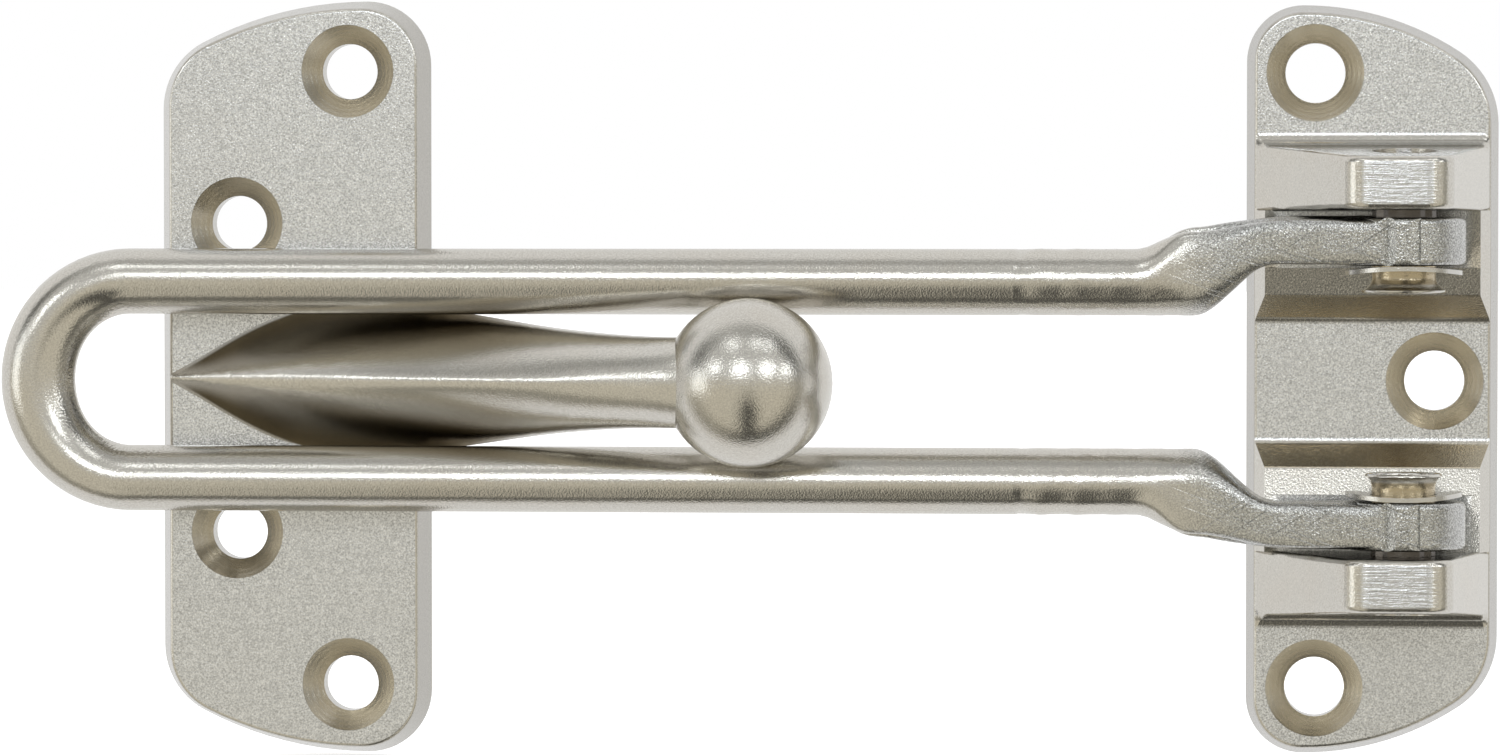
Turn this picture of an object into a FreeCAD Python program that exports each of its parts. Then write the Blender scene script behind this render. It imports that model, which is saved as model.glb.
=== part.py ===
import FreeCAD, Part
import math
import os

from FreeCAD import Vector

# Swing bar door guard with the ball caught in the bar's slot.
# Frame: +X runs along the bar towards the hinge base, +Z is up the plates, the front faces -Y.
# The origin is the middle of the base plate's back face.
# Depth is the distance out from the mounting plane y = 0.

# Driving dimensions in millimetres and degrees

# Both plates
plate_thickness = 4.0
plate_draft = 0.8            # how far the side walls lean in between the back and the front
plate_edge_radius = 0.35
countersink_angle = 90.0
cutter_lead = 0.5            # how far a hole's cutter runs past the faces

# Base plate outline and screw holes
base_width = 23.1
base_height = 69.1
base_corner_radius = 5.2
base_sweep_radius = 26.0
base_tip_radius = 8.0
base_hole_diameter = 5.5
base_countersink_diameter = 8.95
base_hole_spacing = 56.5
base_hole_x = -5.25
base_centre_hole_x = 5.7

# Hinge platforms and ears on the base plate
platform_rise = 2.0
platform_length = 7.75
platform_inset = 1.75        # from the plate's edge to the platform's top edge
platform_ledge = 0.03        # of the plate's face, left outside the platform's sloped ends
platform_slope_run = 2.3
platform_edge_radius = 0.35
platform_root_radius = 1.0
trough_depth = 1.0
trough_side_gap = 0.3
ear_over_pin = 6.0
ear_reach_left = 5.8
ear_reach_right = 4.6
ear_thickness = 5.4
ear_inner_draft = 1.0
ear_outer_draft = 5.0
ear_corner_radius = 2.6
ear_foot_inset = 0.9
ear_foot_height = 0.1
ear_edge_radius = 0.6
ear_root_radius = 1.3

# Hinge line and rivets
pin_x = 2.8
pin_diameter = 5.8
pin_clearance = 0.05
mouth_opening = 16.3         # clear width between the two rivet ends
upper_flare_diameter = 7.7
lower_flare_diameter = 7.0
flare_height = 1.65
rivet_bore_diameter = 4.6
rivet_bore_depth = 4.5
rivet_wall_at_rim = 0.55
flare_outside = ((0.35, 0.04), (0.62, 0.35))   # shares of the flare's height and widening
flare_inside = (0.5, 0.75)
serration_count = 12
serration_depth = 0.25
press_clearance = 0.01
rivet_end_sink = 0.45

# Spring washers
washer_diameter = 10.6
washer_thickness = 0.4
washer_bow = 0.4
washer_bore_clearance = 0.12
running_gap = 0.06

# Swing bar
bar_width = 6.06
bar_height = 5.9
bar_crown_shift = 0.16       # how far the front of the section leans outwards
slot_width = 12.12
bar_reach = 129.25           # from the hinge line to the outside of the U end
bar_over_plate = 2.45        # gap between the ball plate's face and the bar
bar_side_lean = 30.0
bar_section_power = 4.5
u_end_thickening = 0.8
u_end_steps = 12
eye_diameter = 11.2
eye_thickness = 4.35
eye_clearance = 0.4
eye_groove_width = 1.1
eye_groove_depth = 0.45
eye_groove_offset = 0.9
ear_gap = 0.62
eye_edge_radius = 0.55
tang_section_power = 9.0
tang_shoulder = 0.12         # how much the tang is thinner than the eye, on each side
tang_top_over_pin = 5.3
tang_bottom_under_pin = 4.5
tang_end_before_pin = 1.5
valley_before_pin = 1.55     # notch between the tang and the eye
valley_depth = 0.42
valley_tang_run = 0.85
valley_eye_run = 0.5
bend_start = 24.3            # distances from the hinge line
bend_middle = 19.3
bend_end = 10.3
inner_bend_start = 19.0
inner_bend_end = 11.8
bend_lead = 11.0
outer_bend_share = 0.58
tang_steps = 20

# Ball plate
ball_diameter = 15.4
ball_clearance = 0.35
ball_from_pin = 59.2
arm_reach = 31.2             # from the ball's centre to the plate's nearer edge
ball_plate_width = 25.36
ball_plate_height = 70.3
ball_plate_corner_radius = 6.0
ball_plate_sweep_radius = 34.0
ball_plate_tip_radius = 7.0
ball_plate_sweep_draft = 1.29
ball_plate_hole_diameter = 5.15
ball_plate_countersink_diameter = 8.65
outer_hole_spacing = 57.1
outer_hole_from_edge = 7.3
inner_hole_spacing = 28.8
inner_hole_from_edge = 17.75

# Arm of the ball plate: half widths at fractions of its length, from the tip of the leaf to the neck
arm_half_widths = ((0.0, 1.0), (0.1, 3.5), (0.2, 5.6), (0.3, 6.6), (0.4, 6.85), (0.5, 6.6),
                   (0.6, 6.0), (0.7, 5.25), (0.8, 4.65), (0.9, 4.27), (1.0, 4.15))
arm_tip_rise = 0.1
arm_tip_inset = 1.05         # share of the side wall's lean
arm_edge_sink = 0.3
arm_root_depth = 1.5
arm_edge_power = 2.3         # how late the leaf's edge and underside leave the plate
arm_bottom_power = 1.6
arm_wall_power = 0.35        # how upright the leaf's wall stands on the plate; 1 is round
arm_flank_power = 1.15       # how full the leaf's flanks are; 1 is straight
arm_crest_width = 0.07       # half width of the round crest, as a share of the half width
arm_point_spread = 1.6       # how closely the points of a section crowd at the crest
arm_fill_start = 0.45        # where the leaf starts to turn into the round neck, and over what share
arm_fill_run = 0.5
neck_under_ball = 4.15
neck_into_ball = 0.6
ridge_over_ball = 4.7

# Points that draw each closed section of the bar and the arm
section_points = 24
flank_points = 21

tiny = 1e-6

# Worked-out places
base_left = -base_width / 2
base_right = base_width / 2
bar_axis_depth = plate_thickness + bar_over_plate + bar_height / 2
leg_offset = (slot_width + bar_width) / 2
platform_depth = plate_thickness + platform_rise
eye_radius = eye_diameter / 2
pin_radius = pin_diameter / 2
pin_depth = platform_depth - trough_depth + eye_clearance + eye_radius
rivet_end = mouth_opening / 2
washer_inner_side = rivet_end + flare_height
washer_outer_side = washer_inner_side + washer_bow + washer_thickness
eye_inner = washer_outer_side + running_gap
eye_outer = eye_inner + eye_thickness
ear_inner = eye_outer + ear_gap
ear_outer = ear_inner + ear_thickness
ear_top = pin_depth + ear_over_pin
ball_x = pin_x - ball_from_pin
ball_radius = ball_diameter / 2
ball_to_leg = ball_radius + bar_width / 2 + ball_clearance
ball_depth = bar_axis_depth + math.sqrt(ball_to_leg ** 2 - leg_offset ** 2)
ball_plate_right = ball_x - arm_reach
ball_plate_left = ball_plate_right - ball_plate_width
u_centre_x = pin_x - bar_reach + leg_offset + bar_width / 2
arm_tip_x = ball_plate_left + ball_plate_sweep_draft * arm_tip_inset
arm_neck_x = ball_x - math.sqrt(ball_radius ** 2 - neck_under_ball ** 2)

OUT = Vector(0, -1, 0)
UP = Vector(0, 0, 1)


def at(x, depth, z):
    return Vector(x, -depth, z)


def mix(a, b, share):
    return a + (b - a) * share


def ease(share):
    share = min(max(share, 0.0), 1.0)
    return share * share * (3 - 2 * share)


def polyline_face(points):
    return Part.Face(Part.makePolygon(points + points[:1]))


def smooth_ring(points):
    curve = Part.BSplineCurve()
    curve.interpolate(Points=points, PeriodicFlag=True)
    return Part.Wire([curve.toShape()])


def smooth_edge(points):
    curve = Part.BSplineCurve()
    curve.interpolate(Points=points)
    return curve.toShape()


def upper_and_lower(make):
    """Build a feature on the upper side and its mirror image below."""
    upper = make()
    return upper, upper.mirror(Vector(0, 0, 0), UP)


# Plates

def plate_wire(square_x, sweep_x, half_height, corner, sweep, tip, inset, sweep_inset, depth):
    """Outline with round corners on one edge and a long sweep into a tighter tip on the other."""
    side = math.copysign(1, sweep_x - square_x)
    square_x += side * inset
    sweep_x -= side * sweep_inset
    half_height -= inset
    corner -= inset
    sweep -= inset
    tip -= inset
    corner_x = square_x + side * corner
    tip_x = sweep_x - side * tip
    tip_rise = math.sqrt((sweep - tip) ** 2 - (tip_x - corner_x) ** 2)
    tip_z = half_height - sweep + tip_rise
    turn = math.atan2(abs(tip_x - corner_x), tip_rise)

    def on_arc(centre_x, centre_z, radius, angle, flip):
        x = centre_x + side * radius * math.sin(angle)
        z = centre_z + radius * math.cos(angle)
        return at(x, depth, flip * z)

    def half(flip):
        corner_z = half_height - corner
        sweep_z = half_height - sweep
        rows = ((corner_x, corner_z, corner, -math.pi / 2, 0.0),
                (corner_x, sweep_z, sweep, 0.0, turn),
                (tip_x, tip_z, tip, turn, math.pi / 2))
        return [Part.Arc(*(on_arc(cx, cz, radius, mix(start, end, share), flip)
                           for share in (0.0, 0.5, 1.0))).toShape()
                for cx, cz, radius, start, end in rows]

    square_edge = Part.makeLine(at(square_x, depth, corner - half_height),
                                at(square_x, depth, half_height - corner))
    sweep_edge = Part.makeLine(at(sweep_x, depth, tip_z), at(sweep_x, depth, -tip_z))
    return Part.Wire(Part.__sortEdges__([square_edge] + half(1) + [sweep_edge] + half(-1)))


def plate_slab(square_x, sweep_x, height, corner, sweep, tip, sweep_draft):
    wires = [plate_wire(square_x, sweep_x, height / 2, corner, sweep, tip, inset, sweep_inset, depth)
             for inset, sweep_inset, depth in ((0.0, 0.0, 0.0), (plate_draft, sweep_draft, plate_thickness))]
    slab = Part.makeLoft(wires, True, True)
    rim = [edge for edge in slab.Edges if abs(edge.BoundBox.YMax + plate_thickness) < tiny]
    return slab.makeFillet(plate_edge_radius, rim)


def screw_hole(x, z, hole_diameter, countersink_diameter):
    """Cutter for a countersunk hole: cylinder, cone and a short lead above the face."""
    cone_slope = math.tan(math.radians(countersink_angle / 2))
    cone_height = (countersink_diameter - hole_diameter) / 2 / cone_slope
    through = Part.makeCylinder(hole_diameter / 2, plate_thickness + 2 * cutter_lead,
                                at(x, -cutter_lead, z), OUT)
    cone = Part.makeCone(hole_diameter / 2, countersink_diameter / 2 + cutter_lead * cone_slope,
                         cone_height + cutter_lead, at(x, plate_thickness - cone_height, z), OUT)
    return through.fuse(cone)


# Base plate

def ear():
    """Bell-shaped lug: a profile across the plate, thinned by draft on both faces."""
    foot = plate_thickness + ear_foot_height
    root = plate_thickness / 2
    foot_left = base_left + ear_foot_inset
    foot_right = base_right - ear_foot_inset
    diagonal = math.sqrt(0.5)

    def side(foot_x, top_x, towards):
        """Straight flank and the round shoulder that it runs into."""
        centre_x = top_x + towards * ear_corner_radius
        centre_depth = ear_top - ear_corner_radius
        distance = math.hypot(centre_x - foot_x, centre_depth - foot)
        lean = math.atan2(centre_depth - foot, centre_x - foot_x)
        lean += towards * math.asin(ear_corner_radius / distance)

        def on_shoulder(angle):
            return at(centre_x + ear_corner_radius * math.cos(angle),
                      centre_depth + ear_corner_radius * math.sin(angle), 0)

        touch_angle = lean + towards * math.pi / 2
        touch = on_shoulder(touch_angle)
        crown = Part.Arc(touch, on_shoulder((touch_angle + math.pi / 2) / 2), on_shoulder(math.pi / 2))
        return [Part.makeLine(at(foot_x, root, 0), at(foot_x, foot, 0)),
                Part.makeLine(at(foot_x, foot, 0), touch),
                crown.toShape()], on_shoulder(math.pi / 2)

    left_edges, left_end = side(foot_left, pin_x - ear_reach_left, 1)
    right_edges, right_end = side(foot_right, pin_x + ear_reach_right, -1)
    edges = left_edges + right_edges + [Part.makeLine(left_end, right_end),
                                        Part.makeLine(at(foot_left, root, 0), at(foot_right, root, 0))]
    bell = Part.Face(Part.Wire(Part.__sortEdges__(edges))).extrude(UP * (base_height / 2))

    def inner_z(depth):
        return ear_inner + (depth - pin_depth) * math.tan(math.radians(ear_inner_draft))

    def outer_z(depth):
        return ear_outer - (depth - pin_depth) * math.tan(math.radians(ear_outer_draft))

    root_top = plate_thickness + ear_root_radius
    root_foot = outer_z(plate_thickness) + ear_root_radius

    def corner(depth, z):
        return at(base_left, depth, z)

    root_arc = Part.Arc(corner(root_top, outer_z(root_top)),
                        corner(mix(root_top, plate_thickness, diagonal),
                               outer_z(root_top) + ear_root_radius * (1 - diagonal)),
                        corner(plate_thickness, root_foot)).toShape()
    below = Part.makePolygon([corner(plate_thickness, root_foot), corner(root, root_foot),
                              corner(root, inner_z(root)), corner(ear_top, inner_z(ear_top)),
                              corner(ear_top, outer_z(ear_top)), corner(root_top, outer_z(root_top))])
    side_wire = Part.Wire(Part.__sortEdges__(below.Edges + [root_arc]))
    wall = Part.Face(side_wire).extrude(Vector(base_width, 0, 0))
    lug = bell.common(wall).removeSplitter()
    rim = [edge for edge in lug.Edges
           if abs(edge.BoundBox.YMax + ear_top) < tiny and edge.BoundBox.XLength > ear_corner_radius]
    return lug.makeFillet(ear_edge_radius, rim)


def tangent_arc(corner, before, after, radius):
    """Arc that rounds the corner of a profile, with its two ends on the straight sides."""
    towards_before = (before - corner).normalize()
    towards_after = (after - corner).normalize()
    half_angle = towards_before.getAngle(towards_after) / 2
    run = radius / math.tan(half_angle)
    bisector = (towards_before + towards_after).normalize()
    centre = corner + bisector * (radius / math.sin(half_angle))
    start = corner + towards_before * run
    end = corner + towards_after * run
    return start, centre - bisector * radius, end


def platform():
    """Raised hinge seat: a rounded profile with sloped ends, and a trough under the bar's eye."""
    outer = ear_inner
    inner = outer - platform_length
    sink = plate_thickness / 4
    root = at(0, plate_thickness, inner - platform_slope_run)
    brow = at(0, platform_depth, inner)
    back = at(0, platform_depth, outer)
    front = at(0, plate_thickness, 0)
    foot_start, foot_middle, foot_end = tangent_arc(root, front, brow, platform_root_radius)
    brow_start, brow_middle, brow_end = tangent_arc(brow, root, back, platform_edge_radius)
    below = Part.makePolygon([back, at(0, plate_thickness - sink, outer),
                              at(0, plate_thickness - sink, foot_start.z), foot_start])
    profile = [Part.Arc(foot_start, foot_middle, foot_end).toShape(),
               Part.makeLine(foot_end, brow_start),
               Part.Arc(brow_start, brow_middle, brow_end).toShape(),
               Part.makeLine(brow_end, back)]
    face = Part.Face(Part.Wire(Part.__sortEdges__(profile + below.Edges)))
    bar = face.extrude(Vector(base_width, 0, 0))
    bar.translate(Vector(base_left, 0, 0))

    end_run = platform_inset - plate_draft - platform_ledge

    def rectangle(depth, run):
        left = base_left + platform_inset - run
        right = base_right - platform_inset + run
        return Part.makePolygon([at(left, depth, 0), at(right, depth, 0), at(right, depth, outer),
                                 at(left, depth, outer), at(left, depth, 0)])

    top = rectangle(platform_depth, 0.0)
    face_level = rectangle(plate_thickness, end_run)
    bottom = rectangle(plate_thickness - sink, end_run)
    ends = Part.makeLoft([face_level, top], True, True).fuse(Part.makeLoft([bottom, face_level], True, True))
    block = bar.common(ends)
    half_chord = base_width / 2 - platform_inset
    trough_radius = (half_chord ** 2 + trough_depth ** 2) / (2 * trough_depth)
    trough_low = eye_inner - trough_side_gap
    trough = Part.makeCylinder(trough_radius, outer - trough_low,
                               at(0, platform_depth - trough_depth + trough_radius, trough_low), UP)
    relief_low = washer_inner_side - trough_side_gap
    relief = Part.makeCylinder(washer_diameter / 2 + trough_side_gap, outer - relief_low,
                               at(pin_x, pin_depth, relief_low), UP)
    return block.cut([trough, relief])


def base_plate():
    body = plate_slab(base_left, base_right, base_height, base_corner_radius, base_sweep_radius,
                      base_tip_radius, plate_draft)
    body = body.multiFuse([*upper_and_lower(platform), *upper_and_lower(ear)])
    holes = [screw_hole(base_hole_x, z, base_hole_diameter, base_countersink_diameter)
             for z in (base_hole_spacing / 2, -base_hole_spacing / 2)]
    holes.append(screw_hole(base_centre_hole_x, 0, base_hole_diameter, base_countersink_diameter))
    rivet_hole = Part.makeCylinder(pin_radius, base_height, at(pin_x, pin_depth, -base_height / 2), UP)
    return body.cut(holes + [rivet_hole]).removeSplitter()


# Swing bar

def unit_section(angle, directions, power):
    """Rounded polygon as a radius over angle: a power mean of the distances to its sides."""
    total = sum(abs(math.cos(angle - direction) / reach) ** power for direction, reach in directions)
    return total ** (-1 / power)


def section_ring(place, inner, outer, low, high, inner_flatness, outer_flatness):
    """Closed section, round-sided for the leg and flat-sided for the tang, stretched between its limits."""
    lean = math.radians(bar_side_lean)
    round_sides = ((lean, math.cos(lean)), (-lean, math.cos(lean)), (math.pi / 2, 1.0))
    across_limit = unit_section(0.0, round_sides, bar_section_power)
    out_limit = unit_section(math.pi / 2, round_sides, bar_section_power)

    def squared(value):
        return math.copysign(abs(value) ** (2 / tang_section_power), value)

    points = []
    for index in range(section_points):
        angle = 2 * math.pi * index / section_points
        across, out = math.cos(angle), math.sin(angle)
        reach = unit_section(angle, round_sides, bar_section_power)
        flatness = mix(inner_flatness, outer_flatness, (across + 1) / 2)
        across_share = mix(reach * across / across_limit, squared(across), flatness)
        out_share = mix(reach * out / out_limit, squared(out), flatness)
        lean_out = bar_crown_shift * out_share * (1 - flatness)
        points.append(place(mix(inner, outer, (across_share + 1) / 2) + lean_out,
                            mix(low, high, (out_share + 1) / 2)))
    return smooth_ring(points)


def leg_ring(x):
    return section_ring(lambda across, depth: at(x, depth, across), leg_offset - bar_width / 2,
                        leg_offset + bar_width / 2, bar_axis_depth - bar_height / 2,
                        bar_axis_depth + bar_height / 2, 0.0, 0.0)


def u_end():
    """Half turn of the bar, thicker towards the inside at its middle."""
    rings = []
    for step in range(u_end_steps + 1):
        angle = math.pi / 2 + math.pi * step / u_end_steps
        inner = leg_offset - bar_width / 2 - u_end_thickening * math.cos(angle) ** 2

        def place(across, depth, angle=angle):
            return at(u_centre_x + across * math.cos(angle), depth, across * math.sin(angle))

        rings.append(section_ring(place, inner, leg_offset + bar_width / 2, bar_axis_depth - bar_height / 2,
                                  bar_axis_depth + bar_height / 2, 0.0, 0.0))
    return Part.makeLoft(rings, True, False)


def tang():
    """Leg end that bends outwards in two stages, flattens and deepens towards the eye."""
    leg_low = bar_axis_depth - bar_height / 2
    leg_high = bar_axis_depth + bar_height / 2
    rings = []
    for step in range(tang_steps + 1):
        from_pin = mix(bend_start + bend_lead, tang_end_before_pin, step / tang_steps)

        def progress(start, end):
            return ease((start - from_pin) / (start - end))

        turn = mix(progress(bend_middle, bend_end), progress(bend_start, bend_middle), outer_bend_share)
        inner_turn = progress(inner_bend_start, inner_bend_end)
        inner = mix(leg_offset - bar_width / 2, eye_inner + tang_shoulder, inner_turn)
        outer = mix(leg_offset + bar_width / 2, eye_outer - tang_shoulder, turn)
        rise = max(0.0, (bend_middle - from_pin) / (bend_middle - tang_end_before_pin))
        low = mix(leg_low, pin_depth - tang_bottom_under_pin, rise)
        high = mix(leg_high, pin_depth + tang_top_over_pin, rise)
        x = pin_x - from_pin
        rings.append(section_ring(lambda across, depth: at(x, depth, across), inner, outer, low, high,
                                  inner_turn, progress(bend_start, bend_middle)))
    return Part.makeLoft(rings, True, False)


def eye():
    """Disc round the rivet with softened rims and a shallow one-sided groove across its front."""
    disc = Part.makeCylinder(eye_radius, eye_thickness, at(pin_x, pin_depth, eye_inner), UP)
    disc = disc.makeFillet(eye_edge_radius, [edge for edge in disc.Edges if len(edge.Vertexes) == 1])
    left = pin_x + eye_groove_offset - eye_groove_width / 2
    right = left + eye_groove_width
    front = pin_depth + eye_radius
    groove = polyline_face([at(left, front, eye_inner),
                            at(right, front - eye_groove_depth, eye_inner),
                            at(right, front + cutter_lead, eye_inner),
                            at(left, front + cutter_lead, eye_inner)])
    return disc.cut(groove.extrude(UP * eye_thickness))


def valley():
    """Cutter for the notch where the tang's end meets the round of the eye."""
    x = pin_x - valley_before_pin
    top = pin_depth + tang_top_over_pin
    lift = (valley_depth + cutter_lead) / valley_depth
    notch = polyline_face([at(x, top - valley_depth, eye_inner),
                           at(x - valley_tang_run * lift, top + cutter_lead, eye_inner),
                           at(x + valley_eye_run * lift, top + cutter_lead, eye_inner)])
    return notch.extrude(UP * eye_thickness)


def half_bar():
    leg_length = pin_x - bend_start - bend_lead - u_centre_x
    leg = Part.Face(leg_ring(u_centre_x)).extrude(Vector(leg_length, 0, 0))
    return leg.multiFuse([tang(), eye()]).cut(valley())


def swing_bar():
    upper, lower = upper_and_lower(half_bar)
    body = upper.multiFuse([lower, u_end()])
    bore = Part.makeCylinder(pin_radius + pin_clearance, 2 * ear_inner,
                             at(pin_x, pin_depth, -ear_inner), UP)
    return body.cut(bore).removeSplitter()


# Rivets and washers

def rivet(flare_diameter):
    """Semi-tubular rivet: serrated in the ear, plain through the eye, flared and hollow at the mouth."""
    flare_radius = flare_diameter / 2
    bore_radius = rivet_bore_diameter / 2
    rim_inner = flare_radius - rivet_wall_at_rim
    neck_z = washer_inner_side
    bore_z = rivet_end + rivet_bore_depth
    shoulder_z = eye_outer + running_gap
    rim_round = rivet_wall_at_rim / 2

    def point(radius, z):
        return at(pin_x + radius, pin_depth, z)

    rim_outer_point = point(flare_radius, rivet_end + rim_round)
    rim_inner_point = point(rim_inner, rivet_end + rim_round)
    outside_points = [point(mix(pin_radius, flare_radius, widening), mix(neck_z, rivet_end, height))
                      for height, widening in flare_outside]
    outside = smooth_edge([point(pin_radius, neck_z)] + outside_points + [rim_outer_point])
    rim = Part.Arc(rim_outer_point, point(flare_radius - rim_round, rivet_end), rim_inner_point).toShape()
    inside_height, inside_narrowing = flare_inside
    inside = smooth_edge([rim_inner_point,
                          point(mix(rim_inner, bore_radius, inside_narrowing),
                                mix(rivet_end, neck_z, inside_height)),
                          point(bore_radius, neck_z)])
    edges = [outside, rim, inside,
             Part.makeLine(point(bore_radius, neck_z), point(bore_radius, bore_z)),
             Part.makeLine(point(bore_radius, bore_z), point(0, bore_z + bore_radius / 2)),
             Part.makeLine(point(0, bore_z + bore_radius / 2), point(0, shoulder_z)),
             Part.makeLine(point(0, shoulder_z), point(pin_radius, shoulder_z)),
             Part.makeLine(point(pin_radius, shoulder_z), point(pin_radius, neck_z))]
    shank = Part.Face(Part.Wire(Part.__sortEdges__(edges))).revolve(at(pin_x, pin_depth, 0), UP, 360)

    crest = pin_radius - press_clearance
    teeth = []
    for index in range(2 * serration_count):
        radius = crest - serration_depth * (index % 2)
        angle = math.pi * index / serration_count
        teeth.append(at(pin_x + radius * math.cos(angle), pin_depth + radius * math.sin(angle), shoulder_z))
    plug = polyline_face(teeth).extrude(UP * (ear_outer - rivet_end_sink - shoulder_z))
    return shank.fuse(plug).removeSplitter()


def spring_washer():
    """Ring bowed about the depth direction: its front and back lie near the eye, its sides stand off."""
    radius = washer_diameter / 2
    bow_radius = (radius ** 2 + washer_bow ** 2) / (2 * washer_bow)
    height = washer_outer_side - washer_inner_side
    seat = at(pin_x, pin_depth, washer_inner_side)
    ring = Part.makeCylinder(radius, height, seat, UP)
    ring = ring.cut(Part.makeCylinder(pin_radius + washer_bore_clearance, height, seat, UP))
    axis_start = at(pin_x, pin_depth + washer_diameter, washer_outer_side - bow_radius)
    inward = Vector(0, 1, 0)
    bend_outer = Part.makeCylinder(bow_radius, 2 * washer_diameter, axis_start, inward)
    bend_inner = Part.makeCylinder(bow_radius - washer_thickness, 2 * washer_diameter, axis_start, inward)
    return ring.common(bend_outer).cut(bend_inner)


# Ball plate

def arm_ring(share, half_width, x):
    """Section of the arm: a leaf with a sharp ridge over the plate that fills out into a round neck."""
    plate_share = (ball_plate_right - arm_tip_x) / (arm_neck_x - arm_tip_x)
    free = max(0.0, (share - plate_share) / (1 - plate_share))
    ridge = mix(plate_thickness + arm_tip_rise, ball_depth + ridge_over_ball, share)
    edge = mix(plate_thickness - arm_edge_sink, ball_depth, share ** arm_edge_power)
    bottom = mix(arm_root_depth, ball_depth - neck_under_ball, free ** arm_bottom_power)
    fullness = ease((share - arm_fill_start) / arm_fill_run)

    def crest(across):
        return math.hypot(across, arm_crest_width) - arm_crest_width

    flank = []
    under = []
    for index in range(flank_points):
        side = 2 * index / (flank_points - 1) - 1
        angle = math.pi / 2 * side
        across = mix(math.copysign(abs(side) ** arm_point_spread, side), math.sin(angle), fullness)
        leaf_height = 1 - (crest(across) / crest(1.0)) ** arm_flank_power
        round_height = math.sqrt(max(0.0, 1 - across ** 2))
        flank.append(at(x, mix(edge, ridge, mix(leaf_height, round_height, fullness)), half_width * across))
        wall = math.copysign(abs(math.sin(angle)) ** mix(arm_wall_power, 1.0, free), side)
        under.append(at(x, mix(edge, bottom, math.cos(angle)), -half_width * wall))
    return Part.Wire([smooth_edge(flank), smooth_edge(under)])


def ball_plate():
    body = plate_slab(ball_plate_right, ball_plate_left, ball_plate_height, ball_plate_corner_radius,
                      ball_plate_sweep_radius, ball_plate_tip_radius, ball_plate_sweep_draft)
    rings = [arm_ring(share, half_width, mix(arm_tip_x, arm_neck_x, share))
             for share, half_width in arm_half_widths]
    neck_half_width = arm_half_widths[-1][1]
    rings.append(arm_ring(1.0, neck_half_width, mix(arm_neck_x, ball_x, neck_into_ball)))
    arm = Part.makeLoft(rings, True, False)
    ball = Part.makeSphere(ball_radius, at(ball_x, ball_depth, 0))
    body = body.multiFuse([arm, ball])
    holes = []
    for from_edge, spacing in ((outer_hole_from_edge, outer_hole_spacing),
                               (inner_hole_from_edge, inner_hole_spacing)):
        for z in (spacing / 2, -spacing / 2):
            holes.append(screw_hole(ball_plate_right - from_edge, z, ball_plate_hole_diameter,
                                    ball_plate_countersink_diameter))
    return body.cut(holes).removeSplitter()


upper_rivet = rivet(upper_flare_diameter)
lower_rivet = rivet(lower_flare_diameter).mirror(Vector(0, 0, 0), UP)
upper_washer, lower_washer = upper_and_lower(spring_washer)
nodes = {"base_plate": base_plate(),
         "swing_bar": swing_bar(),
         "ball_plate": ball_plate(),
         "upper_rivet": upper_rivet,
         "lower_rivet": lower_rivet,
         "upper_spring_washer": upper_washer,
         "lower_spring_washer": lower_washer}

os.makedirs("parts", exist_ok=True)
for name, shape in nodes.items():
    shape.exportStep("parts/" + name + ".step")
    print(name, "valid", shape.isValid(), "solids", len(shape.Solids), "volume", round(shape.Volume, 1))
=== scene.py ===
import math

import bpy
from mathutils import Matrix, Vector


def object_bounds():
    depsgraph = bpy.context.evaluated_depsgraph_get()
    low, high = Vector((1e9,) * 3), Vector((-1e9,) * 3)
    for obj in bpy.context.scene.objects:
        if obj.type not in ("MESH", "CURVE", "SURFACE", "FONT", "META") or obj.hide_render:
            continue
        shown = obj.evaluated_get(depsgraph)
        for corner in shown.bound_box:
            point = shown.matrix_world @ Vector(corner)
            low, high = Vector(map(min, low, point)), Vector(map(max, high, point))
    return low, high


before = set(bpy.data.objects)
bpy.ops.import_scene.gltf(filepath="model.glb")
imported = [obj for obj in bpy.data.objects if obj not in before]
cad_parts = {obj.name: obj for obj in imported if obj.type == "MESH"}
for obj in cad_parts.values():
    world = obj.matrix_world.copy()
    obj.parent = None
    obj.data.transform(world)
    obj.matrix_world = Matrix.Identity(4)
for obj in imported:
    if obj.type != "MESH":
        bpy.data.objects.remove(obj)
cad_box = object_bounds()

# Camera, in metres, with its lens and sensor in millimetres
CAMERA_PLACE = (-0.00361, -0.582, 0.01659)
CAMERA_AIM = (-0.05767, 0.0, 0.00005)
CAMERA_LENS = 150.58
CAMERA_SENSOR = 36.0
CAMERA_CLIP = (0.01, 20.0)

# Studio, in metres and degrees
FLOOR_GAP = 0.0002
FLOOR_SIZE = 6.0
FLOOR_COLOUR = (0.86, 0.86, 0.86)
FLOOR_GLOW = 0.62
LAMP_DISTANCE = 1.4
LAMP_COLOUR = (0.96, 1.0, 1.04)
BACKDROP_COLOUR = (1.0, 1.0, 1.0)
ROOM_LOW_COLOUR = (0.76, 0.72, 0.61)
ROOM_HIGH_COLOUR = (0.72, 0.725, 0.71)
ROOM_DARK_COLOUR = (0.07, 0.07, 0.065)
ROOM_BLEND = (-6.0, 14.0)
TENT_START = 84.0
TENT_END = 96.0

# Dark rim of the tent, in degrees off the front axis: where it begins, is full, fades and ends
RIM_BAND = (64.0, 74.0, 82.0, 92.0)

# Dark stripe below the lamps: its half width and its strength run between two elevations,
# and its edge runs between two shares of the half width
STRIPE_AZIMUTH = 5.5
STRIPE_SPREAD = (-2.0, -72.0, 7.5, 20.0)
STRIPE_FADE = (4.0, -36.0, 0.0, 0.97)
STRIPE_EDGE = (0.5, 1.3)

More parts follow.
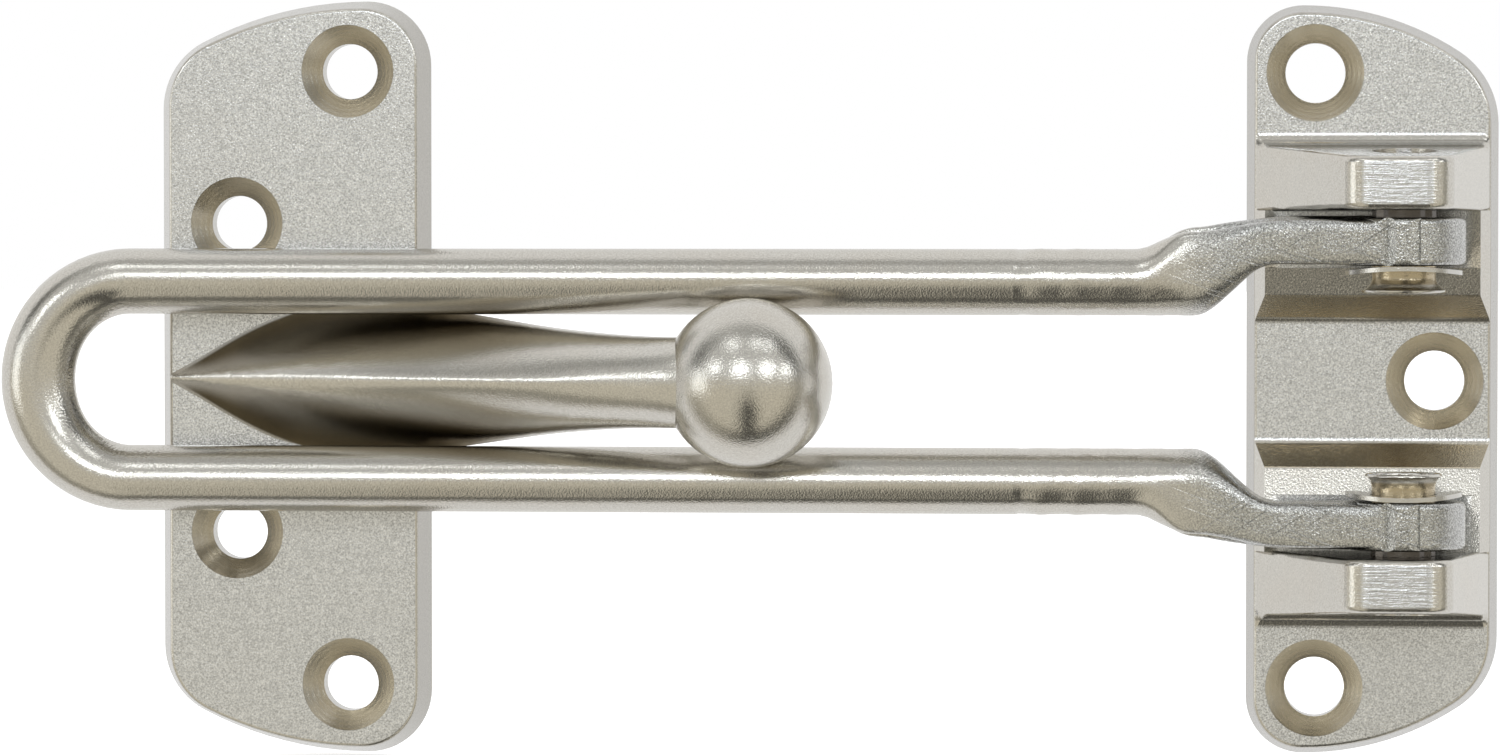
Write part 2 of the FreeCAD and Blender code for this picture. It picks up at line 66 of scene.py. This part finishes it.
# Darkness of the rim at angles round the front axis: 0 is to the right and 90 is at the top
RIM_DARKNESS = (
    (-180, 0.15), (-145, 0.5), (-120, 0.55), (-90, 1.0), (-60, 0.9), (-40, 0.9), (-15, 0.55), (0, 0.4),
    (28, 0.85), (50, 0.85), (72, 0.35), (90, 0.35), (112, 0.15), (130, 0.45), (150, 0.9), (180, 0.15),
)

# Lamps as azimuth, elevation, width, height and radiance.
# Azimuth 0 is straight in front, and it grows to the right.
LAMPS = {
    "key_left": (-5.0, 20.0, 0.44, 0.30, 4.2),
    "key_right": (32.0, 19.5, 0.34, 0.30, 4.2),
    "side_left": (-43.0, 20.0, 0.24, 0.26, 3.4),
    "side_right": (60.0, 16.0, 0.30, 0.28, 2.6),
    "wash_left": (-66.0, 3.0, 0.60, 0.60, 1.0),
    "upper_left": (-27.0, 53.0, 0.30, 0.22, 2.0),
    "upper_middle": (24.0, 56.0, 0.24, 0.20, 2.1),
    "upper_right": (48.0, 51.0, 0.24, 0.22, 2.0),
}

# Colours and roughness of the metals
NICKEL = (0.575, 0.555, 0.51)
NICKEL_WARM = (0.57, 0.54, 0.485)
NICKEL_FLAT = (0.64, 0.645, 0.65)
# Painted shade: the tang darker than the rest of the bar, standing in for the darker surroundings it
# mirrors
TANG_PAINTED_SHADE = (0.44, 0.44, 0.425)
# Painted reflection: the base's slopes warmer, standing in for the tan room they mirror
SLOPE_PAINTED_REFLECTION = (0.66, 0.59, 0.46)
NICKEL_TURNED = (0.66, 0.615, 0.52)
# Painted shade of the plates' side walls, darker than their faces
BASE_SIDE_PAINTED_SHADE = (0.33, 0.315, 0.285)
BALL_PLATE_SIDE_PAINTED_SHADE = (0.40, 0.385, 0.35)
BRASS = (0.46, 0.39, 0.27)
SPRING_STEEL = (0.58, 0.565, 0.53)
# Painted shade of the rivet where it runs between the eye and the ear
RIVET_PAINTED_SHADE = (0.10, 0.09, 0.08)
# Painted shade of the leaf's flanks towards their outline, standing in for the dark bar mirrored there
LEAF_PAINTED_SHADE = (0.13, 0.105, 0.065)
FLAT_ROUGHNESS = 0.24
WALL_ROUGHNESS = 0.15
BAR_ROUGHNESS = 0.17
TANG_ROUGHNESS = 0.13
WASHER_ROUGHNESS = 0.2

# Strength of the blasted grain by zone, as relief and as light and dark specks
FLAT_GRAIN = 0.4
WALL_GRAIN = 0.3
BAR_GRAIN = 0.34
BALL_GRAIN = 0.48
TANG_GRAIN = 1.0
FLAT_SPECKS = 0.34
WALL_SPECKS = 0.1
TANG_SPECKS = 0.45
SMALL_PIECE_GRAIN = 0.4

# Relief of the metals, in metres and radians. A texture is its detail and its roughness,
# and a band is where it begins, where it ends, and its values there.
GRAIN_SIZE = 0.00016
GRAIN_TEXTURE = (1.5, 0.55)
GRAIN_HEIGHT = 0.00005
SPECK_SIZE = 0.00015
SPECK_TEXTURE = (1.0, 0.5)
SPECK_CONTRAST = 4.0
RIPPLE_SIZE = 0.004
RIPPLE_TEXTURE = (1.0, 0.5)
RIPPLE_HEIGHT = 0.00002
TONE_SIZE = 0.012
TONE_TEXTURE = (3.0, 0.6)
TONE_BAND = (0.42, 0.68, 0.0, 0.7)
GLOSS_BAND = (0.3, 0.7, 0.0, 0.3)
GLOSS_GAIN = 1.4
STREAK_SIZE = (0.0026, 0.0026, 0.00015)
STREAK_TEXTURE = (2.0, 0.6)
STREAK_HEIGHT = 0.00005
STRIATION_SIZE = (0.00022, 0.006, 0.00022)
STRIATION_TEXTURE = (1.0, 0.5)
STRIATION_HEIGHT = 0.00003
RING_PITCH = 0.00042
RING_HEIGHT = 0.000002
SCRATCH_SIZE = (0.010, 0.010, 0.00022)
SCRATCH_TEXTURE = (0.0, 0.5)
SCRATCH_BAND = (0.72, 0.8, 0.0, -1.0)
SCRATCH_HEIGHT = 0.00005
SCRATCH_TURNS = (0.35, -0.6)
PIT_SPACING = 0.006
PIT_BAND = (0.02, 0.045, -1.0, 0.0)
PIT_HEIGHT = 0.00025
NOISE_MEAN = 0.5

# Where a zone begins and where it is full, by how squarely the surface faces the front or the ends
FLAT_FACING = (0.955, 0.99)
EAR_FACING = (0.85, 0.97)
SIDE_FACING = (0.6, 0.42)
CONE_FACING = (0.3, 0.5)
SLOPE_FACING = (0.2, 0.4)

# Places on the castings where a zone begins and where it is full, in metres
PLATE_THICKNESS = 0.004
PLATE_FACE = (PLATE_THICKNESS + 0.0003, PLATE_THICKNESS + 0.0001)
SIDE_DEPTH = (PLATE_THICKNESS, PLATE_THICKNESS - 0.0003)
SLOPE_DEPTH = (PLATE_THICKNESS, PLATE_THICKNESS + 0.0003)
SLOPE_END = (0.0096, 0.0088)
EAR_TOP = (0.0135, 0.0150)
TANG_START = (-0.020, -0.012)
BALL_START = (-0.068, -0.060)
U_CENTRE = (-0.11433, 0.0)
U_INSIDE = (0.0076, 0.0070)

# Hinge platforms: depths where their zone begins, is full, fades and ends, and their lean to the middle
PLATFORM_DEPTH = (0.0057, 0.0059, 0.0061, 0.0063)
PLATFORM_LEAN = 0.3

# Leaf of the arm: where its zone begins and ends along x, its reach to each side between two places,
# the shares of the reach between which it darkens with painted shade, and the lift of its rims
LEAF_RISE = (-0.1135, -0.108)
LEAF_FALL = (-0.072, -0.084)
LEAF_REACH = (-0.1125, -0.0955, 0.0010, 0.0068)
LEAF_SIDE = (0.1, 0.92)
LEAF_POWER = 4.0
LEAF_FLATTENING = 2.2e5

# Countersunk holes as x and z, and the radii of their countersinks, in metres
BASE_HOLES = ((-0.00525, 0.02825), (-0.00525, -0.02825), (0.0057, 0.0))
BALL_PLATE_HOLES = (
    (-0.0949, 0.02855), (-0.0949, -0.02855), (-0.10535, 0.0144), (-0.10535, -0.0144),
)
BASE_COUNTERSINK = 0.00448
BALL_PLATE_COUNTERSINK = 0.00433
COUNTERSINK_EDGE = 0.0001

# Zones along a rivet, as distances from the middle of the guard, in metres
RIVET_NECK = (0.0088, 0.0091)
RIVET_COVERED = (0.0145, 0.0148)


def make_camera():
    data = bpy.data.cameras.new("camera")
    data.lens = CAMERA_LENS
    data.sensor_width = CAMERA_SENSOR
    data.sensor_fit = "HORIZONTAL"
    data.clip_start, data.clip_end = CAMERA_CLIP
    camera = bpy.data.objects.new("camera", data)
    camera.location = CAMERA_PLACE
    camera.rotation_euler = (Vector(CAMERA_AIM) - Vector(CAMERA_PLACE)).to_track_quat("-Z", "Y").to_euler()
    bpy.context.collection.objects.link(camera)
    bpy.context.scene.camera = camera


def make_lamp(name, azimuth, elevation, width, height, radiance):
    """Soft panel that faces the object; its power follows from the radiance and the area."""
    turn = math.radians(azimuth)
    rise = math.radians(elevation)
    aim = Vector(CAMERA_AIM)
    direction = Vector((math.sin(turn) * math.cos(rise), -math.cos(turn) * math.cos(rise), math.sin(rise)))
    data = bpy.data.lights.new(name, "AREA")
    data.shape = "RECTANGLE"
    data.size = width
    data.size_y = height
    data.energy = radiance * math.pi * width * height
    data.color = LAMP_COLOUR
    lamp = bpy.data.objects.new(name, data)
    lamp.location = aim + direction * LAMP_DISTANCE
    lamp.rotation_euler = (-direction).to_track_quat("-Z", "Y").to_euler()
    lamp.visible_camera = False
    bpy.context.collection.objects.link(lamp)


class Nodes:
    """Short names for building a node tree."""

    def __init__(self, tree):
        self.tree = tree
        tree.nodes.clear()

    def add(self, kind, **settings):
        node = self.tree.nodes.new(kind)
        for key, value in settings.items():
            setattr(node, key, value)
        return node

    def put(self, socket, value):
        if hasattr(value, "is_output"):
            self.tree.links.new(value, socket)
        else:
            socket.default_value = value

    def math(self, operation, *values):
        node = self.add("ShaderNodeMath", operation=operation)
        for socket, value in zip(node.inputs, values):
            self.put(socket, value)
        return node.outputs[0]

    def band(self, value, start, end, low=0.0, high=1.0):
        """Smooth step of a value from low at start to high at end."""
        node = self.add("ShaderNodeMapRange", interpolation_type="SMOOTHSTEP")
        for name, number in (("Value", value), ("From Min", start), ("From Max", end),
                             ("To Min", low), ("To Max", high)):
            self.put(node.inputs[name], number)
        return node.outputs["Result"]

    def colour_mix(self, share, first, second):
        node = self.add("ShaderNodeMix", data_type="RGBA")
        self.put(node.inputs["Factor"], share)
        self.put(node.inputs["A"], first)
        self.put(node.inputs["B"], second)
        return node.outputs["Result"]

    def noise(self, vector, scale, detail, roughness):
        node = self.add("ShaderNodeTexNoise")
        self.put(node.inputs["Vector"], vector)
        node.inputs["Scale"].default_value = scale
        node.inputs["Detail"].default_value = detail
        node.inputs["Roughness"].default_value = roughness
        return node.outputs["Fac"]

    def ramp(self, value, stops):
        node = self.add("ShaderNodeValToRGB")
        self.put(node.inputs["Fac"], value)
        elements = node.color_ramp.elements
        while len(elements) < len(stops):
            elements.new(0.5)
        for element, (place, colour) in zip(elements, stops):
            element.position = place
            element.color = (*colour, 1.0)
        return node.outputs["Color"]

    def link(self, output, socket):
        self.tree.links.new(output, socket)


def make_world():
    """Light tent: a white backdrop behind the object and a warm room with a dark broken rim in front.

    Mirrored rays see the backdrop as well, and camera rays see it on every side.
    """
    world = bpy.data.worlds.new("studio")
    bpy.context.scene.world = world
    world.use_nodes = True
    nodes = Nodes(world.node_tree)
    place = nodes.add("ShaderNodeTexCoord")
    split = nodes.add("ShaderNodeSeparateXYZ")
    nodes.link(place.outputs["Generated"], split.inputs[0])
    right, back, up = split.outputs
    ahead = nodes.math("MULTIPLY", back, -1.0)
    off_axis = nodes.math("DEGREES", nodes.math("ARCCOSINE", ahead))
    elevation = nodes.math("DEGREES", nodes.math("ARCSINE", up))
    azimuth = nodes.math("DEGREES", nodes.math("ARCTAN2", right, ahead))
    around = nodes.math("DEGREES", nodes.math("ARCTAN2", up, right))

    rim_start, rim_full, rim_fade, rim_end = RIM_BAND
    rim = nodes.math("MULTIPLY", nodes.band(off_axis, rim_start, rim_full),
                     nodes.band(off_axis, rim_fade, rim_end, 1.0, 0.0))
    rim_ramp = nodes.ramp(nodes.math("DIVIDE", nodes.math("ADD", around, 180.0), 360.0),
                          [((angle + 180.0) / 360.0, (dark, dark, dark)) for angle, dark in RIM_DARKNESS])
    rim = nodes.math("MULTIPLY", rim, rim_ramp)
    stripe_width = nodes.band(elevation, *STRIPE_SPREAD)
    from_stripe = nodes.math("ABSOLUTE", nodes.math("SUBTRACT", azimuth, STRIPE_AZIMUTH))
    stripe = nodes.band(nodes.math("DIVIDE", from_stripe, stripe_width), *STRIPE_EDGE, 1.0, 0.0)
    stripe = nodes.math("MULTIPLY", stripe, nodes.band(elevation, *STRIPE_FADE))
    dark = nodes.math("MAXIMUM", rim, stripe)

    high = nodes.band(elevation, *ROOM_BLEND)
    room = nodes.colour_mix(high, (*ROOM_LOW_COLOUR, 1.0), (*ROOM_HIGH_COLOUR, 1.0))
    room = nodes.colour_mix(dark, room, (*ROOM_DARK_COLOUR, 1.0))
    tent = nodes.colour_mix(nodes.band(off_axis, TENT_START, TENT_END), room, (*BACKDROP_COLOUR, 1.0))
    path = nodes.add("ShaderNodeLightPath")
    seen = nodes.colour_mix(path.outputs["Is Camera Ray"], tent, (*BACKDROP_COLOUR, 1.0))
    background = nodes.add("ShaderNodeBackground")
    nodes.link(seen, background.inputs["Color"])
    output = nodes.add("ShaderNodeOutputWorld")
    nodes.link(background.outputs[0], output.inputs["Surface"])


def make_floor(lowest):
    """Pale floor just under the plates; it keeps the object's shadow."""
    mesh = bpy.data.meshes.new("floor")
    half = FLOOR_SIZE / 2
    level = lowest - FLOOR_GAP
    corners = [(-half, -half, level), (half, -half, level), (half, half, level), (-half, half, level)]
    mesh.from_pydata(corners, [], [(0, 1, 2, 3)])
    floor = bpy.data.objects.new("floor", mesh)
    bpy.context.collection.objects.link(floor)
    material = bpy.data.materials.new("pale_floor")
    material.use_nodes = True
    nodes = Nodes(material.node_tree)
    diffuse = nodes.add("ShaderNodeBsdfDiffuse")
    diffuse.inputs["Color"].default_value = (*FLOOR_COLOUR, 1.0)
    glow = nodes.add("ShaderNodeEmission")
    path = nodes.add("ShaderNodeLightPath")
    nodes.link(nodes.math("MULTIPLY", path.outputs["Is Camera Ray"], FLOOR_GLOW), glow.inputs["Strength"])
    both = nodes.add("ShaderNodeAddShader")
    nodes.link(diffuse.outputs[0], both.inputs[0])
    nodes.link(glow.outputs[0], both.inputs[1])
    output = nodes.add("ShaderNodeOutputMaterial")
    nodes.link(both.outputs[0], output.inputs["Surface"])
    mesh.materials.append(material)
    floor.visible_glossy = False


class Metal(Nodes):
    """Node tree of one metal: reliefs and colour changes, tone and painted shade among them, are laid on
    one after another, then the shader is made.
    """

    def __init__(self, name, colour, roughness):
        self.material = bpy.data.materials.new(name)
        self.material.use_nodes = True
        super().__init__(self.material.node_tree)
        coordinates = self.add("ShaderNodeTexCoord")
        self.place = coordinates.outputs["Object"]
        split = self.add("ShaderNodeSeparateXYZ")
        self.link(self.place, split.inputs[0])
        self.x, back, self.z = split.outputs
        self.depth = self.math("MULTIPLY", back, -1.0)
        split_normal = self.add("ShaderNodeSeparateXYZ")
        self.link(coordinates.outputs["Normal"], split_normal.inputs[0])
        self.facing_front = self.math("MULTIPLY", split_normal.outputs["Y"], -1.0)
        self.facing_ends = self.math("ABSOLUTE", split_normal.outputs["Z"])
        self.normal = None
        self.colour = (*colour, 1.0)
        self.roughness = roughness

    def stretched(self, along, turn=0.0):
        """Coordinates in which a texture is drawn out along one axis, after a turn about the depth axis."""
        mapping = self.add("ShaderNodeMapping", vector_type="TEXTURE")
        mapping.inputs["Scale"].default_value = along
        mapping.inputs["Rotation"].default_value = (0.0, turn, 0.0)
        self.link(self.place, mapping.inputs["Vector"])
        return mapping.outputs[0]

    def relief(self, height, distance, strength=1.0):
        """Bump that adds to the reliefs laid on before."""
        bump = self.add("ShaderNodeBump")
        bump.inputs["Distance"].default_value = distance
        self.put(bump.inputs["Strength"], strength)
        self.link(height, bump.inputs["Height"])
        if self.normal:
            self.link(self.normal, bump.inputs["Normal"])
        self.normal = bump.outputs[0]

    def recolour(self, share, colour):
        """Change towards another colour where the share is 1."""
        self.colour = self.colour_mix(share, self.colour, (*colour, 1.0))

    def shade(self, gain):
        """Lighten by a gain above 1 and darken by one below 1."""
        tinted = self.add("ShaderNodeVectorMath", operation="SCALE")
        self.link(self.colour, tinted.inputs[0])
        self.link(gain, tinted.inputs["Scale"])
        self.colour = tinted.outputs[0]

    def polish(self, share, roughness):
        """Change towards another roughness where the share is 1."""
        node = self.add("ShaderNodeMix", data_type="FLOAT")
        self.put(node.inputs["Factor"], share)
        self.put(node.inputs["A"], self.roughness)
        self.put(node.inputs["B"], roughness)
        self.roughness = node.outputs["Result"]

    def finish(self):
        shader = self.add("ShaderNodeBsdfPrincipled")
        shader.inputs["Metallic"].default_value = 1.0
        self.put(shader.inputs["Base Color"], self.colour)
        self.put(shader.inputs["Roughness"], self.roughness)
        self.link(self.normal, shader.inputs["Normal"])
        output = self.add("ShaderNodeOutputMaterial")
        self.link(shader.outputs[0], output.inputs["Surface"])
        return self.material


def cast_skin(metal, grain_share, roughness):
    """Plated casting: fine blasted grain as strong as its share, slow ripple, uneven gloss and tone."""
    grain = metal.noise(metal.place, 1.0 / GRAIN_SIZE, *GRAIN_TEXTURE)
    ripple = metal.noise(metal.place, 1.0 / RIPPLE_SIZE, *RIPPLE_TEXTURE)
    metal.relief(ripple, RIPPLE_HEIGHT)
    swing = metal.math("SUBTRACT", grain, NOISE_MEAN)
    metal.relief(metal.math("MULTIPLY", swing, grain_share), GRAIN_HEIGHT)
    tone = metal.noise(metal.place, 1.0 / TONE_SIZE, *TONE_TEXTURE)
    metal.recolour(metal.band(tone, *TONE_BAND), NICKEL_WARM)
    metal.polish(metal.band(grain, *GLOSS_BAND), roughness * GLOSS_GAIN)


def speckled(metal, share):
    """Light and dark specks of the blasted grain, as strong as the share."""
    specks = metal.noise(metal.place, 1.0 / SPECK_SIZE, *SPECK_TEXTURE)
    swing = metal.math("MULTIPLY", metal.math("SUBTRACT", specks, NOISE_MEAN), SPECK_CONTRAST)
    metal.shade(metal.math("ADD", metal.math("MULTIPLY", swing, share), 1.0))


def flat_share(metal):
    """1 where the surface looks straight to the front or the back, 0 on walls, slopes and rounds."""
    return metal.band(metal.math("ABSOLUTE", metal.facing_front), *FLAT_FACING)


def from_axis(metal, x, z):
    """Distance from an axis that runs straight to the front."""
    across = metal.math("SUBTRACT", metal.x, x)
    along = metal.math("SUBTRACT", metal.z, z)
    squares = metal.math("ADD", metal.math("POWER", across, 2.0), metal.math("POWER", along, 2.0))
    return metal.math("SQRT", squares)


def machined_holes(metal, holes, radius):
    """Countersinks with turned rings, warmer than the faces."""
    nearest = from_axis(metal, *holes[0])
    for hole in holes[1:]:
        nearest = metal.math("MINIMUM", nearest, from_axis(metal, *hole))
    inside = metal.math("MULTIPLY", metal.band(nearest, radius, radius - COUNTERSINK_EDGE),
                        metal.band(metal.facing_front, *CONE_FACING))
    wave = metal.math("SINE", metal.math("MULTIPLY", nearest, math.tau / RING_PITCH))
    metal.relief(wave, RING_HEIGHT, inside)
    metal.recolour(inside, NICKEL_TURNED)
    metal.polish(inside, FLAT_ROUGHNESS)


def scratched(metal, share):
    """A few scratches in two directions, as strong as the share."""
    for turn in SCRATCH_TURNS:
        lines = metal.noise(metal.stretched(SCRATCH_SIZE, turn), 1.0, *SCRATCH_TEXTURE)
        metal.relief(metal.band(lines, *SCRATCH_BAND), SCRATCH_HEIGHT, share)


def paint_side_shade(metal, colour):
    """Side walls of a plate darkened with painted shade, darker than its face."""
    low = metal.band(metal.depth, *SIDE_DEPTH)
    side = metal.band(metal.math("ABSOLUTE", metal.facing_front), *SIDE_FACING)
    metal.recolour(metal.math("MULTIPLY", low, side), colour)


def pitted(metal, share):
    """Tiny casting pits, as deep as the share."""
    cells = metal.add("ShaderNodeTexVoronoi")
    metal.link(metal.place, cells.inputs["Vector"])
    cells.inputs["Scale"].default_value = 1.0 / PIT_SPACING
    pits = metal.band(cells.outputs["Distance"], *PIT_BAND)
    metal.relief(pits, PIT_HEIGHT, share)


def base_nickel():
    metal = Metal("base_nickel", NICKEL, FLAT_ROUGHNESS)
    flat = flat_share(metal)
    not_flat = metal.math("SUBTRACT", 1.0, flat)
    ear = metal.math("MULTIPLY", metal.band(metal.depth, *EAR_TOP),
                     metal.band(metal.facing_front, *EAR_FACING))
    blasted = metal.math("MULTIPLY", flat, metal.math("SUBTRACT", 1.0, ear))
    metal.polish(not_flat, WALL_ROUGHNESS)
    cast_skin(metal, metal.band(blasted, 0.0, 1.0, WALL_GRAIN, FLAT_GRAIN), FLAT_ROUGHNESS)
    from_middle = metal.math("ABSOLUTE", metal.z)
    slope = metal.math("MULTIPLY", not_flat, metal.band(from_middle, *SLOPE_END))
    slope = metal.math("MULTIPLY", slope, metal.band(metal.depth, *SLOPE_DEPTH))
    slope = metal.math("MULTIPLY", slope, metal.band(metal.facing_ends, *SLOPE_FACING))
    # Painted reflection: the slopes, facing up or down, take a warmer colour
    metal.recolour(slope, SLOPE_PAINTED_REFLECTION)
    platform_start, platform_full, platform_fade, platform_end = PLATFORM_DEPTH
    platform = metal.math("MULTIPLY", metal.band(metal.depth, platform_start, platform_full),
                          metal.band(metal.depth, platform_fade, platform_end, 1.0, 0.0))
    metal.relief(from_middle, PLATFORM_LEAN, metal.math("MULTIPLY", platform, flat))
    metal.recolour(metal.math("MULTIPLY", flat, metal.math("SUBTRACT", 1.0, platform)), NICKEL_FLAT)
    streaks = metal.noise(metal.stretched(STREAK_SIZE), 1.0, *STREAK_TEXTURE)
    metal.relief(streaks, STREAK_HEIGHT, ear)
    # Painted shade on the side walls of the base
    paint_side_shade(metal, BASE_SIDE_PAINTED_SHADE)
    machined_holes(metal, BASE_HOLES, BASE_COUNTERSINK)
    pitted(metal, not_flat)
    speckled(metal, metal.band(blasted, 0.0, 1.0, WALL_SPECKS, FLAT_SPECKS))
    return metal.finish()


def ball_plate_nickel():
    metal = Metal("ball_plate_nickel", NICKEL, FLAT_ROUGHNESS)
    low = metal.band(metal.depth, *PLATE_FACE)
    flat = metal.math("MULTIPLY", flat_share(metal), low)
    metal.polish(metal.math("SUBTRACT", 1.0, flat), WALL_ROUGHNESS)
    rounds = metal.band(metal.x, *BALL_START, WALL_GRAIN, BALL_GRAIN)
    cast_skin(metal, metal.band(flat, 0.0, 1.0, rounds, FLAT_GRAIN), FLAT_ROUGHNESS)
    metal.recolour(flat, NICKEL_FLAT)
    # Painted shade on the side walls of the ball plate
    paint_side_shade(metal, BALL_PLATE_SIDE_PAINTED_SHADE)
    machined_holes(metal, BALL_PLATE_HOLES, BALL_PLATE_COUNTERSINK)
    leaf = metal.math("MULTIPLY", metal.band(metal.x, *LEAF_RISE),
                      metal.band(metal.x, *LEAF_FALL))
    leaf = metal.math("MULTIPLY", leaf, metal.math("SUBTRACT", 1.0, low))
    metal.relief(metal.math("POWER", metal.z, LEAF_POWER), LEAF_FLATTENING, leaf)
    reach = metal.band(metal.x, *LEAF_REACH)
    side = metal.band(metal.math("DIVIDE", metal.math("ABSOLUTE", metal.z), reach), *LEAF_SIDE)
    # Painted shade: the leaf's flanks darken towards their outline
    metal.recolour(metal.math("MULTIPLY", leaf, side), LEAF_PAINTED_SHADE)
    speckled(metal, metal.band(flat, 0.0, 1.0, WALL_SPECKS, FLAT_SPECKS))
    return metal.finish()


def bar_nickel():
    metal = Metal("bar_nickel", NICKEL, BAR_ROUGHNESS)
    tang = metal.band(metal.x, *TANG_START)
    metal.polish(tang, TANG_ROUGHNESS)
    cast_skin(metal, metal.band(tang, 0.0, 1.0, BAR_GRAIN, TANG_GRAIN), BAR_ROUGHNESS)
    # Painted shade: the tang is darkened in colour
    metal.recolour(tang, TANG_PAINTED_SHADE)
    inside_u = metal.band(from_axis(metal, *U_CENTRE), *U_INSIDE)
    striations = metal.noise(metal.stretched(STRIATION_SIZE), 1.0, *STRIATION_TEXTURE)
    metal.relief(striations, STRIATION_HEIGHT, inside_u)
    scratched(metal, tang)
    speckled(metal, metal.band(tang, 0.0, 1.0, WALL_SPECKS, TANG_SPECKS))
    return metal.finish()


def small_piece_grain(metal):
    """Blasted grain of the rivets and washers, weaker than on the castings."""
    grain = metal.noise(metal.place, 1.0 / GRAIN_SIZE, *GRAIN_TEXTURE)
    metal.relief(grain, GRAIN_HEIGHT * SMALL_PIECE_GRAIN)


def rivet_metal():
    """Nickel-plated flare, brass showing on the neck, and painted shade where it runs between the eye and
    the ear.
    """
    metal = Metal("rivet_metal", NICKEL, WALL_ROUGHNESS)
    small_piece_grain(metal)
    from_middle = metal.math("ABSOLUTE", metal.z)
    metal.recolour(metal.band(from_middle, *RIVET_NECK), BRASS)
    # Painted shade on the covered part of the rivet
    metal.recolour(metal.band(from_middle, *RIVET_COVERED), RIVET_PAINTED_SHADE)
    return metal.finish()


def washer_metal():
    metal = Metal("spring_steel", SPRING_STEEL, WASHER_ROUGHNESS)
    small_piece_grain(metal)
    return metal.finish()


def dress(node_name, material):
    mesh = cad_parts[node_name].data
    mesh.materials.clear()
    mesh.materials.append(material)


bpy.context.scene.view_settings.view_transform = "Standard"
make_camera()
make_world()
make_floor(cad_box[0][2])
for lamp_name, lamp_values in LAMPS.items():
    make_lamp(lamp_name, *lamp_values)

dress("base_plate", base_nickel())
dress("swing_bar", bar_nickel())
dress("ball_plate", ball_plate_nickel())
rivet = rivet_metal()
for node_name in ("upper_rivet", "lower_rivet"):
    dress(node_name, rivet)
washer = washer_metal()
for node_name in ("upper_spring_washer", "lower_spring_washer"):
    dress(node_name, washer)
